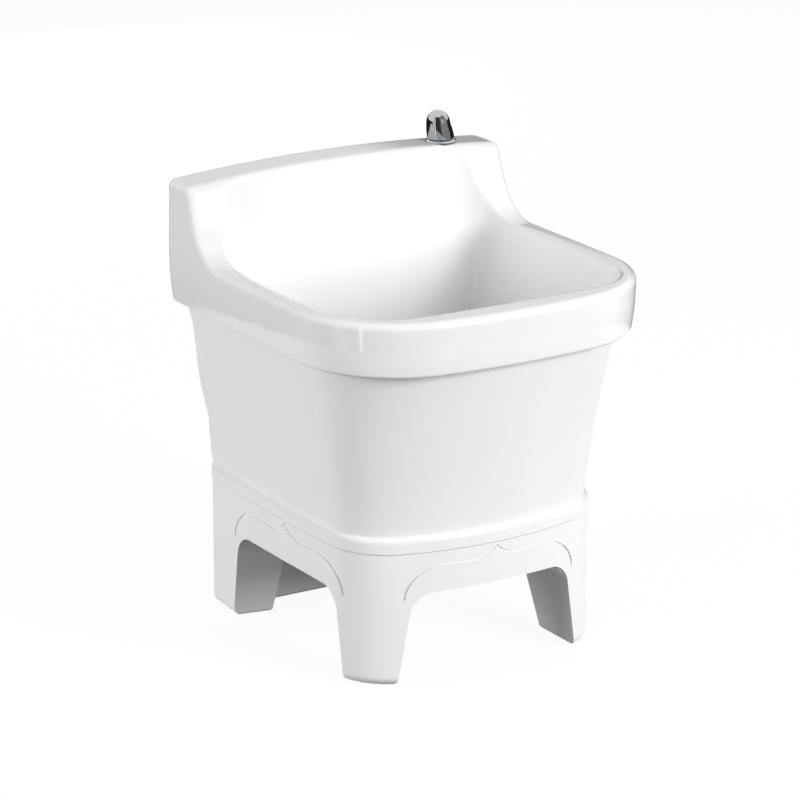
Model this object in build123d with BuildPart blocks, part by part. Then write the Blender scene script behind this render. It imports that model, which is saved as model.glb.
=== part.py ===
from build123d import *
from dataclasses import dataclass, replace
from math import atan, cos, degrees, hypot, radians, sin, sqrt, tan
import os

# A utility laundry sink in glazed ceramic. A hollow basin with a bowed collar, an arched backsplash
# and a tapered skirt sits on a four-legged stand. A chrome knob on the backsplash ledge lifts a rod,
# the rod tips a lever under the bowl, and the lever lowers the stopper of the waste.
#
# Millimetres. X is to the right as seen from the front, the front faces -Y, and Z is up.
# The floor is Z = 0 and the sink is symmetric about X = 0, apart from its knob and linkage.

os.makedirs("parts", exist_ok=True)

# ---------------------------------------------------------------- driving sizes: clearances
running_gap = 0.05  # round a rod, thread or spigot in its hole
free_gap = 0.3  # between faces that move past each other
hole_gap = 1.0  # round a tube in a ceramic hole

# ---------------------------------------------------------------- driving sizes: the stand
pad_reveal = 2.0  # how far a foot pad stands proud of its foot
pad_sink = 2.0  # how deep a pad is let into its foot
pad_radius = 11.0
foot_side_inset = 36.0  # middles of the feet, in from the sides of the stand
foot_front_inset = 65.0
foot_back_inset = 36.0
foot_rounding = 12.0
foot_inner_rounding = 5.0

stand_half_width = 184.0
stand_front = -179.8
stand_back = 225.2
stand_front_bow = 39.0
stand_side_bow = 6.5
stand_front_radius = 83.0
stand_back_radius = 10.0
smallest_radius = 4.0  # corner of a plan moved inwards past its own rounding

front_leg_width = 53.5  # front leg at the floor, as seen from the front
front_arch_batter = 19.5  # slope of each side of the front arch over its height
front_arch_height = 119.0
front_arch_crown = 3.0
front_arch_radius = 30.0
side_arch_foot = 139.0
side_arch_top = 122.0
side_arch_height = 118.0
side_arch_crown = 1.5
side_arch_radius = 34.0
side_arch_offset = 203.0  # middle of a side arch on the outer face, in from the stand's back
side_arch_inner_foot = 110.0  # half width of the same arch on the inner face of the legs
side_arch_inner_top = 96.0
side_arch_inner_offset = 187.0
leg_inset = 14.0  # inner face of the legs, back from the foot of the front arch
back_wall = 35.0  # closed back of the stand
cut_past = 6.0  # how far a cut runs out past the face it opens

groove_depth = 1.8  # ogee line cut above each arch
groove_width = 2.4
ogee_inset = 6.0  # half width of an ogee, back from the foot of its arch
ogee_shoulder = 155.0
ogee_peak = 168.0
# One half of the ogee from its peak: share of its half width, drop from the shoulder.
ogee_curve = (
    (0.17, -1.0),
    (0.37, 0.0),
    (0.70, 2.0),
    (0.88, 15.0),
    (0.98, 42.0),
)

apron_wall = 14.0  # wall of the stand above its legs
shelf_height = 126.0  # tops of the legs inside the stand
room_base = 95.0  # where the room above the arches starts
room_half_width = 112.0
leg_floor = 18.0  # bottom of the hollow in each leg
leg_pocket = 26.0  # hollow in a leg, across the sink
front_pocket = 30.0  # the same, front to back
back_pocket = 40.0
leg_pocket_rounding = 8.0

# ---------------------------------------------------------------- driving sizes: the basin
split_height = 173.5  # underside of the basin
seal_thickness = 1.0  # bedding seal between basin and stand
seal_inset = 2.0  # seal edge, back from the outer face
seal_width = 9.0
bead_lip = 1.0  # bead beyond the stand
bead_height = 20.0  # moulding round the bottom of the basin
bead_rounding = 8.0

skirt_wall = 14.0
skirt_concavity = 0.45  # share by which the skirt hollows between its foot and the collar
skirt_side_inset = 3.0  # plan of the skirt just above the bead, in from the stand
skirt_front_inset = 4.5
skirt_back_reach = 1.0
skirt_front_bow = 38.0
skirt_side_bow = 6.0
skirt_front_radius = 82.0
skirt_back_radius = 9.0

collar_depth = 69.0  # from the rim down to the collar's underside
collar_root = 12.0  # how far the skirt runs up into the collar
collar_overhang = 17.5  # collar edge beyond the top of the skirt
collar_back_overhang = 2.5
collar_half_width = 227.0  # plan of the collar at its underside
collar_front = -231.3
collar_back = 231.2
collar_front_bow = 31.5
collar_side_bow = 1.5
collar_front_radius = 136.0
collar_back_radius = 9.0
collar_draft = 4.8  # widening of the collar from its underside to the rim
collar_low_rise = 22.0  # height in which the collar takes most of that draft
collar_low_share = 0.6
collar_edge_rounding = 5.0

rim_height = 481.0  # flat rim round the front of the bowl
ledge_rise = 99.0  # top of the backsplash at its middle, above the rim
ledge_drop = 10.5  # fall of the arched ledge from its middle to its ends
blank_margin = 20.0  # block that the backsplash is cut from, above the ledge
swoop_depth = 136.0  # where the flat rim starts to rise, in from the collar's back
swoop_radius = 70.0
swoop_turn = 70.0  # degrees of the swoop before the straight face
brow_rounding = 13.0  # front edge of the ledge
top_rounding = 9.0  # outer edge of rim, swoop and ledge

rim_side_width = 18.5  # rim between bowl and collar edge, beside the bowl
rim_front_width = 34.5
ledge_depth = 63.5  # bowl's back at rim height, in from the collar's back
bowl_front_bow = 4.5
bowl_side_bow = 16.0
bowl_front_radius = 84.0
bowl_back_radius = 52.0
bowl_wall = 13.0
bowl_lip_depth = 31.0  # from the rim down to where the bowl starts to close in
bowl_draft = 0.095  # widening of the bowl above that, per millimetre of rise
bowl_back_draft = 0.135  # the same at its back, which runs straight up to the ledge
bowl_edge_rounding = 7.0
bowl_floor = 225.0
floor_side_inset = 62.5  # floor of the bowl, in from the bowl at the rim
floor_front_inset = 74.0
floor_back_inset = 34.5
bowl_floor_rounding = 30.0
dish_depth = 5.0  # fall of the floor to the waste
dish_radius = 85.0
boss_radius = 48.0  # thickened floor round the waste

ledge_thickness = 22.0  # ceramic above the hollow behind the backsplash
hollow_side_inset = 31.0  # that hollow, in from the collar
hollow_depth = 58.0
hollow_top_depth = 46.0
hollow_shoulder = 12.0  # upright part below its ceiling
hollow_start = 25.0  # where it starts to slope, below the top of the swoop

# ---------------------------------------------------------------- driving sizes: the waste
waste_y = 15.2
waste_bore_radius = 18.0
waste_tube_radius = 21.0
waste_tube_end = 178.0
flange_radius = 34.0
flange_thickness = 2.5
flange_recess = 3.0
mouth_chamfer = 2.0
flange_seal_thickness = 1.5
seal_setback = 1.0  # edges of seals and washers, in from the piece above them
gasket_radius = 32.0
gasket_thickness = 5.0
friction_thickness = 1.2
back_nut_height = 9.0
back_nut_flats = 56.0
back_nut_collar = 2.0  # round flange of the back nut

tee_gap = 1.0  # between the tee and the back nut
tee_floor = 3.0  # floor of the tee's socket
tee_socket_radius = 25.0
tee_body_radius = 22.0
tee_spigot_radius = 19.0
tee_spigot_top = 146.0
tee_spigot_end = 130.0
tail_radius = 16.0
tail_wall = 1.5
tail_depth = 14.0  # tailpiece inside the tee
tail_end = 62.0
tail_bead = 110.0  # underside of the stop bead, where a trap's socket ends
tail_bead_height = 3.0
tail_bead_radius = 18.0
tail_nut_radius = 23.5
tail_nut_grip = 12.0
tail_nut_rounding = 0.8
washer_height = 4.0
cap_wall = 3.0  # end wall of the screwed caps

stopper_radius = 20.5
stopper_height = 5.0
stem_radius = 5.0
stem_foot = 8.0  # stem below the lever's tip
eye_gap = 0.8  # round the lever in the stem
seal_height = 3.0
vane_height = 30.0
vane_width = 1.5

# ---------------------------------------------------------------- driving sizes: the linkage
pivot_height = 164.0
pivot_reach = 36.0  # from the middle of the waste to the ball
ball_radius = 5.7
lever_radius = 2.5
lever_tip = 6.0  # lever beyond the middle of the waste
lever_overhang = 5.0  # lever beyond the strap
port_radius = 12.0
port_bore = 8.0
seat_depth = 8.0
seat_mouth = 2.0  # room round the lever where it swings through the seat and the nut
cap_grip = 10.0

knob_side_inset = 71.5  # axis of the knob, in from the collar
knob_back_inset = 29.0
knob_seat_depth = 6.0  # seat of the flange, below the crown of the ledge
knob_gasket_thickness = 1.5
gasket_inset = 4.0  # gasket edge, back from the flange above it
knob_flange_radius = 20.0
knob_flange_thickness = 4.0
knob_height = 37.0
knob_base_radius = 18.0
knob_crown_rounding = 8.0
# Knob from bottom to top: share of its height, half width, half depth, sideways shift.
knob_shape = (
    (0.0, 1.0, 0.94, 0.0),
    (0.35, 0.95, 0.89, -2.5),
    (0.75, 0.79, 0.76, -5.0),
    (1.0, 0.66, 0.66, -5.4),
)
grub_height = 9.0
grub_radius = 2.0
grub_length = 9.0

bush_radius = 6.0
bush_length = 28.0  # guide bush below the seat
bush_head_radius = 7.5
bush_head = 1.4
guide_nut_height = 6.0
guide_nut_flats = 19.0

lift_travel = 44.0
rod_radius = 2.5
rod_end = 200.0
rod_grip = 26.0  # rod inside the knob
strap_thickness = 1.6
strap_width = 12.0
strap_top = 226.0
strap_holes = 4
strap_pitch = 12.0
strap_hole_gap = 1.2  # room for the lever to tilt in its hole
tab_margin = 3.0  # tab round the rod
tab_inset = 4.0  # tabs, in from the ends of the rod's seat
screw_radius = 2.0
screw_head_radius = 4.0
screw_head = 5.0
clip_thickness = 0.8
clip_width = 9.0
clip_rise = 7.0  # clip above the lever

# ---------------------------------------------------------------- worked out from the sizes above
foot_x = stand_half_width - foot_side_inset
foot_front_y = stand_front + foot_front_inset
foot_back_y = stand_back - foot_back_inset
front_arch_foot = stand_half_width - front_leg_width
front_arch_top = front_arch_foot - front_arch_batter
side_arch_middle = stand_back - side_arch_offset
side_arch_inner_middle = stand_back - side_arch_inner_offset
back_wall_inner = stand_back - back_wall
skirt_half_width = stand_half_width - skirt_side_inset
skirt_front = stand_front + skirt_front_inset
skirt_back = stand_back + skirt_back_reach
collar_underside = rim_height - collar_depth
ledge_crown = rim_height + ledge_rise
blank_height = ledge_crown + blank_margin
ledge_ceiling = ledge_crown - ledge_thickness
swoop_start = collar_back - swoop_depth
bowl_half_width = collar_half_width - rim_side_width
bowl_front = collar_front + rim_front_width
bowl_back = collar_back - ledge_depth
bowl_floor_half_width = bowl_half_width - floor_side_inset
bowl_floor_front = bowl_front + floor_front_inset
bowl_floor_back = bowl_back - floor_back_inset
hollow_half_width = collar_half_width - hollow_side_inset
hollow_front_y = collar_back - hollow_depth
hollow_top_y = collar_back - hollow_top_depth
knob_x = collar_half_width - knob_side_inset
knob_y = collar_back - knob_back_inset
knob_seat_height = ledge_crown - knob_seat_depth
bush_end = knob_seat_height - bush_length
stand_top = split_height - seal_thickness
bead_top = split_height + bead_height
seat_z = bowl_floor - dish_depth - flange_recess
boss_z = bowl_floor - dish_depth - bowl_wall
lever_run = hypot(knob_x, knob_y - waste_y)
lever_heading = degrees(atan((knob_y - waste_y) / knob_x))
strap_reach = lever_run - rod_radius - running_gap - strap_thickness / 2
lever_arm = strap_reach - pivot_reach
lever_angle = degrees(atan(lift_travel / 2 / lever_arm))
stopper_travel = 2 * pivot_reach * tan(radians(lever_angle))
ledge_radius = (collar_half_width**2 + ledge_drop**2) / (2 * ledge_drop)


@dataclass(frozen=True)
class Plan:
    """Outline seen from above: bowed front, lightly bowed sides, straight back, rounded corners."""

    half_width: float
    front: float
    back: float
    front_bow: float
    side_bow: float
    front_radius: float
    back_radius: float

    def grown(self, distance):
        """The outline moved outwards by a distance, or inwards where it is negative."""
        return Plan(
            self.half_width + distance,
            self.front - distance,
            self.back + distance,
            self.front_bow,
            self.side_bow,
            max(self.front_radius + distance, smallest_radius),
            max(self.back_radius + distance, smallest_radius),
        )

    def towards(self, other, share):
        """The outline a share of the way from this one to another."""
        mine = list(vars(self).values())
        theirs = list(vars(other).values())
        return Plan(*[a + (b - a) * share for a, b in zip(mine, theirs)])


stand_plan = Plan(
    stand_half_width,
    stand_front,
    stand_back,
    stand_front_bow,
    stand_side_bow,
    stand_front_radius,
    stand_back_radius,
)
skirt_plan = Plan(
    skirt_half_width,
    skirt_front,
    skirt_back,
    skirt_front_bow,
    skirt_side_bow,
    skirt_front_radius,
    skirt_back_radius,
)
collar_plan = Plan(
    collar_half_width,
    collar_front,
    collar_back,
    collar_front_bow,
    collar_side_bow,
    collar_front_radius,
    collar_back_radius,
)
skirt_top_plan = Plan(
    collar_half_width - collar_overhang,
    collar_front + collar_overhang,
    collar_back - collar_back_overhang,
    collar_front_bow,
    collar_side_bow,
    collar_front_radius - collar_overhang,
    skirt_back_radius,
)
bowl_plan = Plan(
    bowl_half_width,
    bowl_front,
    bowl_back,
    bowl_front_bow,
    bowl_side_bow,
    bowl_front_radius,
    bowl_back_radius,
)
bowl_floor_plan = Plan(
    bowl_floor_half_width,
    bowl_floor_front,
    bowl_floor_back,
    bowl_front_bow,
    bowl_side_bow / 2,
    bowl_front_radius,
    bowl_back_radius,
)


def draw(plan):
    """Draw a plan in the open sketch and round its corners."""
    corner_x = plan.half_width - plan.side_bow
    corner_y = plan.front + plan.front_bow
    middle_y = (corner_y + plan.back) / 2
    with BuildLine() as sides:
        ThreePointArc((-corner_x, corner_y), (0, plan.front), (corner_x, corner_y))
        ThreePointArc((corner_x, corner_y), (plan.half_width, middle_y), (corner_x, plan.back))
        Line((corner_x, plan.back), (-corner_x, plan.back))
        ThreePointArc((-corner_x, plan.back), (-plan.half_width, middle_y), (-corner_x, corner_y))
    make_face(sides.edges())
    fillet(vertices().group_by(Axis.Y)[0], plan.front_radius)
    fillet(vertices().group_by(Axis.Y)[-1], plan.back_radius)


def layer(plan, height):
    """Face of a plan at a height."""
    with BuildSketch(Plane.XY.offset(height)) as level:
        draw(plan)
    return level.sketch


def loft_plans(levels):
    """Solid through plans at heights, given as (height, plan) pairs, in the open part."""
    loft([layer(plan, height) for height, plan in levels])


def prism(plan, bottom, top, mode=Mode.ADD):
    """Straight solid over one plan between two heights, in the open part."""
    extrude(layer(plan, bottom), amount=top - bottom, mode=mode)


def arch(middle, foot, top, height, crown, radius):
    """Arch opening in the open sketch: sloping sides, rounded shoulders and a slight crown."""
    flare = foot_inner_rounding
    bulge = flare * (1 - sqrt(0.5))
    slope = (foot - top) / height
    spring = foot - slope * (pad_reveal + flare)
    with BuildLine() as opening:
        Line((middle - spring, pad_reveal + flare), (middle - top, height))
        ThreePointArc((middle - top, height), (middle, height + crown), (middle + top, height))
        Line((middle + top, height), (middle + spring, pad_reveal + flare))
        ThreePointArc(
            (middle + spring, pad_reveal + flare),
            (middle + spring + bulge, pad_reveal + bulge),
            (middle + spring + flare, pad_reveal),
        )
        Polyline(
            (middle + spring + flare, pad_reveal),
            (middle + spring + flare, 0),
            (middle - spring - flare, 0),
            (middle - spring - flare, pad_reveal),
        )
        ThreePointArc(
            (middle - spring - flare, pad_reveal),
            (middle - spring - bulge, pad_reveal + bulge),
            (middle - spring, pad_reveal + flare),
        )
    make_face(opening.edges())
    fillet(vertices().group_by(Axis.Y)[-1], radius)


def ogee(middle, half):
    """Line of the ogee above an arch in the open sketch, as wide as its groove."""
    with BuildLine() as line:
        for side in (-1, 1):
            points = [(middle + side * share * half, ogee_shoulder - drop) for share, drop in ogee_curve]
            Spline((middle, ogee_peak), *points)
    trace(line.edges(), line_width=groove_width)


def save(piece, name):
    """Label a finished piece and write it."""
    piece.part.label = name
    export_step(piece.part, f"parts/{name}.step")


# ---------------------------------------------------------------- stand
with BuildPart() as grooves:
    with BuildSketch(Plane.XZ):
        ogee(0, front_arch_foot - ogee_inset)
    extrude(amount=-stand_front + cut_past)
    with BuildSketch(Plane.YZ):
        ogee(side_arch_middle, side_arch_foot - ogee_inset)
    extrude(amount=stand_half_width + cut_past, both=True)
    prism(stand_plan.grown(-groove_depth), 0, stand_top, Mode.SUBTRACT)

with BuildPart() as side_plug:
    for outer, reach in ((False, front_arch_foot - leg_inset), (True, stand_half_width + cut_past)):
        with BuildSketch(Plane.YZ.offset(reach)):
            arch(
                side_arch_middle if outer else side_arch_inner_middle,
                side_arch_foot if outer else side_arch_inner_foot,
                side_arch_top if outer else side_arch_inner_top,
                side_arch_height,
                side_arch_crown,
                side_arch_radius,
            )
    loft()
    with BuildSketch(Plane.YZ):
        arch(
            side_arch_inner_middle,
            side_arch_inner_foot,
            side_arch_inner_top,
            side_arch_height,
            side_arch_crown,
            side_arch_radius,
        )
    extrude(amount=front_arch_foot - leg_inset)
    mirror(about=Plane.YZ)

with BuildPart() as stand:
    prism(stand_plan, pad_reveal, stand_top)
    fillet(stand.edges().group_by(Axis.Z)[0], foot_rounding)
    add(grooves.part, mode=Mode.SUBTRACT)
    prism(stand_plan.grown(-apron_wall), shelf_height, stand_top, Mode.SUBTRACT)
    with BuildSketch(Plane.XY.offset(room_base)):
        draw(stand_plan.grown(-apron_wall))
        with BuildSketch(mode=Mode.PRIVATE) as room:
            with Locations((0, (back_wall_inner + stand_front) / 2)):
                Rectangle(2 * room_half_width, back_wall_inner - stand_front)
            with Locations((0, side_arch_inner_middle)):
                Rectangle(2 * stand_half_width, 2 * side_arch_inner_top)
        add(room.sketch, mode=Mode.INTERSECT)
    extrude(amount=shelf_height - room_base, mode=Mode.SUBTRACT)
    with BuildSketch(Plane.XZ.offset(-back_wall_inner)):
        arch(
            0,
            front_arch_foot,
            front_arch_top,
            front_arch_height,
            front_arch_crown,
            front_arch_radius,
        )
    extrude(amount=back_wall_inner - stand_front + cut_past, mode=Mode.SUBTRACT)
    add(side_plug.part, mode=Mode.SUBTRACT)
    for side in (-1, 1):
        for y, depth in ((foot_front_y, front_pocket), (foot_back_y, back_pocket)):
            with BuildSketch(Plane.XY.offset(leg_floor)):
                with Locations((side * foot_x, y)):
                    RectangleRounded(leg_pocket, depth, leg_pocket_rounding)
            extrude(amount=stand_top - leg_floor, mode=Mode.SUBTRACT)
            with BuildSketch(Plane.XY.offset(pad_reveal)):
                with Locations((side * foot_x, y)):
                    Circle(pad_radius + running_gap)
            extrude(amount=pad_sink, mode=Mode.SUBTRACT)
save(stand, "stand")

with BuildPart() as foot_pads:
    with BuildSketch(Plane.XY):
        for side in (-1, 1):
            with Locations((side * foot_x, foot_front_y), (side * foot_x, foot_back_y)):
                Circle(pad_radius)
    extrude(amount=pad_reveal + pad_sink)
    chamfer(foot_pads.edges().group_by(Axis.Z)[0], pad_reveal / 3)
save(foot_pads, "foot_pads")

with BuildPart() as bedding_seal:
    prism(stand_plan.grown(-seal_inset), stand_top, split_height)
    prism(stand_plan.grown(-seal_inset - seal_width), stand_top, split_height, Mode.SUBTRACT)
save(bedding_seal, "bedding_seal")


# ---------------------------------------------------------------- basin
def skirt_levels(distance, bottom):
    """Plans up the skirt, moved outwards by a distance, from a height up into the collar."""
    rise = collar_underside - bead_top
    lower, upper = bead_top + 0.3 * rise, bead_top + 0.65 * rise
    levels = []
    for height in (bottom, lower, upper, collar_underside, collar_underside + collar_root):
        share = (height - bead_top) / rise
        blend = share + skirt_concavity * share * (share - 1)
        levels.append((height, skirt_plan.towards(skirt_top_plan, blend).grown(distance)))
    return levels


def bowl_tool(distance):
    """Inside of the bowl as a solid, moved outwards by a distance, open past the ledge."""
    upper = []
    for height in (rim_height - bowl_lip_depth, blank_height):
        rise = height - rim_height
        plan = bowl_plan.grown(distance + bowl_draft * rise)
        upper.append((height, replace(plan, back=bowl_back + distance + bowl_back_draft * rise)))
    with BuildPart() as inside:
        loft_plans([(bowl_floor - distance, bowl_floor_plan.grown(distance)), upper[0]])
        fillet(inside.edges().group_by(Axis.Z)[0], bowl_floor_rounding + distance)
        loft_plans(upper)
    return inside.part


with BuildPart() as bead:
    prism(stand_plan.grown(bead_lip), split_height, bead_top)
    fillet(bead.edges().group_by(Axis.Z)[-1], bead_rounding)

with BuildPart() as crown:
    loft_plans(
        [
            (collar_underside, collar_plan),
            (collar_underside + collar_low_rise, collar_plan.grown(collar_low_share * collar_draft)),
            (rim_height, collar_plan.grown(collar_draft)),
            (blank_height, collar_plan.grown(collar_draft)),
        ]
    )
    fillet(crown.edges().group_by(Axis.Z)[0], collar_edge_rounding)
    swoop_end_y = swoop_start + swoop_radius * sin(radians(swoop_turn))
    swoop_end_z = rim_height + swoop_radius * (1 - cos(radians(swoop_turn)))
    face_rise = blank_height + cut_past - swoop_end_z
    with BuildSketch(Plane.YZ):
        with BuildLine() as profile:
            Line((2 * collar_front, rim_height), (swoop_start, rim_height))
            CenterArc((swoop_start, rim_height + swoop_radius), swoop_radius, -90, swoop_turn)
            Polyline(
                (swoop_end_y, swoop_end_z),
                (swoop_end_y + face_rise / tan(radians(swoop_turn)), blank_height + cut_past),
                (2 * collar_front, blank_height + cut_past),
                (2 * collar_front, rim_height),
            )
        make_face(profile.edges())
    extrude(amount=2 * collar_half_width, both=True, mode=Mode.SUBTRACT)
    with BuildSketch(Plane.XZ):
        with Locations((0, blank_height)):
            Rectangle(3 * collar_half_width, 2 * (blank_margin + 2 * ledge_drop))
        with Locations((0, ledge_crown - ledge_radius)):
            Circle(ledge_radius, mode=Mode.SUBTRACT)
    extrude(amount=2 * collar_half_width, both=True, mode=Mode.SUBTRACT)
    ledge_face = crown.faces().sort_by(Axis.Z)[-1]
    fillet(ledge_face.edges().sort_by(Axis.Y)[0], brow_rounding)
    top_edges = crown.edges().filter_by(
        lambda e: e.center().Z > rim_height - 1
        and e.bounding_box().size.Z < blank_height - rim_height
        and (abs(e.center().X) > 1 or e.center().Y < 0 or e.center().Y > knob_y)
    )
    fillet(top_edges, top_rounding)

with BuildPart() as hollow:
    loft_plans(skirt_levels(-skirt_wall, split_height))
    with BuildSketch(Plane.YZ) as rear_hollow:
        Polygon(
            (collar_back - skirt_wall, ledge_ceiling),
            (hollow_top_y, ledge_ceiling),
            (hollow_top_y, ledge_ceiling - hollow_shoulder),
            (hollow_front_y, swoop_end_z - hollow_start),
            (hollow_front_y, collar_underside),
            (collar_back - skirt_wall, collar_underside),
            align=None,
        )
    extrude(amount=hollow_half_width, both=True)
    add(bowl_tool(bowl_wall), mode=Mode.SUBTRACT)

with BuildPart() as basin:
    loft_plans(skirt_levels(0, split_height))
    add(bead.part)
    add(crown.part)
    add(hollow.part, mode=Mode.SUBTRACT)
    with Locations((0, waste_y, boss_z)):
        Cylinder(boss_radius, bowl_floor - boss_z, align=(Align.CENTER, Align.CENTER, Align.MIN))
    add(bowl_tool(0), mode=Mode.SUBTRACT)
    bowl_edges = basin.edges(Select.LAST).filter_by(lambda e: e.center().Z > rim_height - 1)
    fillet(bowl_edges, bowl_edge_rounding)
    with Locations((0, waste_y, bowl_floor - dish_depth)):
        Cone(
            flange_radius + hole_gap,
            dish_radius,
            dish_depth,
            align=(Align.CENTER, Align.CENTER, Align.MIN),
            mode=Mode.SUBTRACT,
        )
    with BuildSketch(Plane.XY.offset(seat_z)):
        with Locations((0, waste_y)):
            Circle(flange_radius + hole_gap)
    extrude(amount=flange_recess, mode=Mode.SUBTRACT)
    with BuildSketch(Plane.XY.offset(boss_z)):
        with Locations((0, waste_y)):
            Circle(waste_tube_radius + hole_gap)
    extrude(amount=bowl_floor - boss_z, mode=Mode.SUBTRACT)
    with BuildSketch(Plane.XY.offset(knob_seat_height)):
        with Locations((knob_x, knob_y)):
            Circle(knob_flange_radius + hole_gap)
    extrude(amount=ledge_crown - knob_seat_height, mode=Mode.SUBTRACT)
    with BuildSketch(Plane.XY.offset(ledge_ceiling)):
        with Locations((knob_x, knob_y)):
            Circle(bush_radius + hole_gap)
    extrude(amount=knob_seat_height - ledge_ceiling, mode=Mode.SUBTRACT)
save(basin, "basin")


# ---------------------------------------------------------------- waste
def ring(outer, inner, bottom, top, mode=Mode.ADD):
    """Ring round the waste between two heights, in the open part; inner 0 makes a disc."""
    with BuildSketch(Plane.XY.offset(bottom)) as section:
        with Locations((0, waste_y)):
            Circle(outer)
            if inner:
                Circle(inner, mode=Mode.SUBTRACT)
    extrude(section.sketch, amount=top - bottom, mode=mode)


flange_bottom = seat_z + flange_seal_thickness
flange_top = flange_bottom + flange_thickness
gasket_bottom = boss_z - gasket_thickness
washer_radius = gasket_radius - seal_setback
friction_bottom = gasket_bottom - friction_thickness
nut_bottom = friction_bottom - back_nut_height
tee_top = nut_bottom - tee_gap

with BuildPart() as flange_seal:
    ring(flange_radius - seal_setback, waste_tube_radius + hole_gap, seat_z, flange_bottom)
save(flange_seal, "flange_seal")

with BuildPart() as waste_flange:
    ring(flange_radius, 0, flange_bottom, flange_top)
    chamfer(waste_flange.edges().group_by(Axis.Z)[-1], flange_thickness * 0.4)
    ring(waste_tube_radius, 0, waste_tube_end, flange_bottom)
    ring(waste_bore_radius, 0, waste_tube_end, flange_top, Mode.SUBTRACT)
    chamfer(waste_flange.edges().group_by(Axis.Z)[-1].sort_by(SortBy.RADIUS)[0], mouth_chamfer)
save(waste_flange, "waste_flange")

with BuildPart() as lower_gasket:
    ring(gasket_radius, waste_tube_radius + running_gap, gasket_bottom, boss_z)
    chamfer(lower_gasket.edges().group_by(Axis.Z)[-1].sort_by(SortBy.RADIUS)[-1], gasket_thickness / 2)
save(lower_gasket, "lower_gasket")

with BuildPart() as friction_washer:
    ring(washer_radius, waste_tube_radius + running_gap, friction_bottom, gasket_bottom)
save(friction_washer, "friction_washer")

with BuildPart() as back_nut:
    with BuildSketch(Plane.XY.offset(nut_bottom)):
        with Locations((0, waste_y)):
            RegularPolygon(back_nut_flats / 2, 6, major_radius=False)
            Circle(waste_tube_radius + running_gap, mode=Mode.SUBTRACT)
    extrude(amount=back_nut_height)
    collar_bottom = friction_bottom - back_nut_collar
    ring(washer_radius, waste_tube_radius + running_gap, collar_bottom, friction_bottom)
save(back_nut, "back_nut")

port_end = pivot_reach + ball_radius + free_gap


def reach_plane(reach, height=pivot_height):
    """Plane square to the lever's heading, looking outwards, a reach from the middle of the waste."""
    heading = radians(lever_heading)
    return Plane(
        (reach * cos(heading), waste_y + reach * sin(heading), height),
        x_dir=(-sin(heading), cos(heading), 0),
        z_dir=(cos(heading), sin(heading), 0),
    )


def along_lever(radius, start, end, mode=Mode.ADD, bore=0.0):
    """Level cylinder or tube along the lever's heading between two reaches, in the open part."""
    with BuildSketch(reach_plane(start)) as section:
        Circle(radius)
        if bore:
            Circle(bore, mode=Mode.SUBTRACT)
    extrude(section.sketch, amount=end - start, mode=mode)


with BuildPart() as waste_tee:
    ring(tee_socket_radius, 0, waste_tube_end - tee_floor, tee_top)
    ring(tee_body_radius, 0, tee_spigot_top, waste_tube_end)
    ring(tee_spigot_radius, 0, tee_spigot_end, tee_spigot_top)
    along_lever(port_radius, 0, port_end)
    ring(tail_radius + running_gap, 0, tee_spigot_end, tee_top, Mode.SUBTRACT)
    ring(waste_bore_radius, 0, tee_spigot_top, tee_top, Mode.SUBTRACT)
    ring(waste_tube_radius + running_gap, 0, waste_tube_end, tee_top, Mode.SUBTRACT)
    along_lever(port_bore + running_gap, 0, port_end, Mode.SUBTRACT)
save(waste_tee, "waste_tee")

with BuildPart() as tailpiece:
    ring(tail_radius, 0, tail_end, tee_spigot_end + tail_depth)
    ring(tail_bead_radius, 0, tail_bead, tail_bead + tail_bead_height)
    rims = tailpiece.edges().filter_by(GeomType.CIRCLE).sort_by(SortBy.RADIUS)[-2:]
    fillet(rims, tail_bead_height / 3)
    ring(tail_radius - tail_wall, 0, tail_end, tee_spigot_end + tail_depth, Mode.SUBTRACT)
save(tailpiece, "tailpiece")

with BuildPart() as tailpiece_washer:
    ring(tee_spigot_radius, tail_radius + running_gap, tee_spigot_end - washer_height, tee_spigot_end)
save(tailpiece_washer, "tailpiece_washer")

with BuildPart() as tailpiece_nut:
    tail_nut_base = tee_spigot_end - washer_height - cap_wall
    tail_nut_top = tee_spigot_end + tail_nut_grip
    thread_radius = tee_spigot_radius + running_gap
    ring(tail_nut_radius, tail_radius + running_gap, tail_nut_base, tail_nut_top)
    ring(thread_radius, 0, tail_nut_base + cap_wall, tail_nut_top, Mode.SUBTRACT)
    fillet(tailpiece_nut.edges().group_by(Axis.Z)[-1].sort_by(SortBy.RADIUS)[-1], tail_nut_rounding)
save(tailpiece_nut, "tailpiece_nut")

# ---------------------------------------------------------------- lever and its ball joint
swing = radians(lever_angle)


def lever_point(distance):
    """Point on the lever's axis a distance outwards from its ball."""
    heading = radians(lever_heading)
    level = pivot_reach + distance * cos(swing)
    return (level * cos(heading), waste_y + level * sin(heading), pivot_height - distance * sin(swing))


with BuildPart() as pivot_seat:
    along_lever(port_bore, pivot_reach - seat_depth, port_end)
    cup_radius = ball_radius + free_gap
    along_lever(cup_radius, pivot_reach - cup_radius, port_end, Mode.SUBTRACT)
    along_lever(lever_radius + seat_mouth, pivot_reach - seat_depth, port_end, Mode.SUBTRACT)
save(pivot_seat, "pivot_seat")

with BuildPart() as pivot_nut:
    along_lever(port_radius + cap_wall, port_end - cap_grip, port_end + cap_wall)
    along_lever(port_radius + running_gap, port_end - cap_grip, port_end, Mode.SUBTRACT)
    along_lever(lever_radius + seat_mouth, port_end, port_end + cap_wall, Mode.SUBTRACT)
save(pivot_nut, "pivot_nut")

inner_length = (pivot_reach + lever_tip) / cos(swing)
outer_length = (lever_arm + lever_overhang) / cos(swing)

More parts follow.
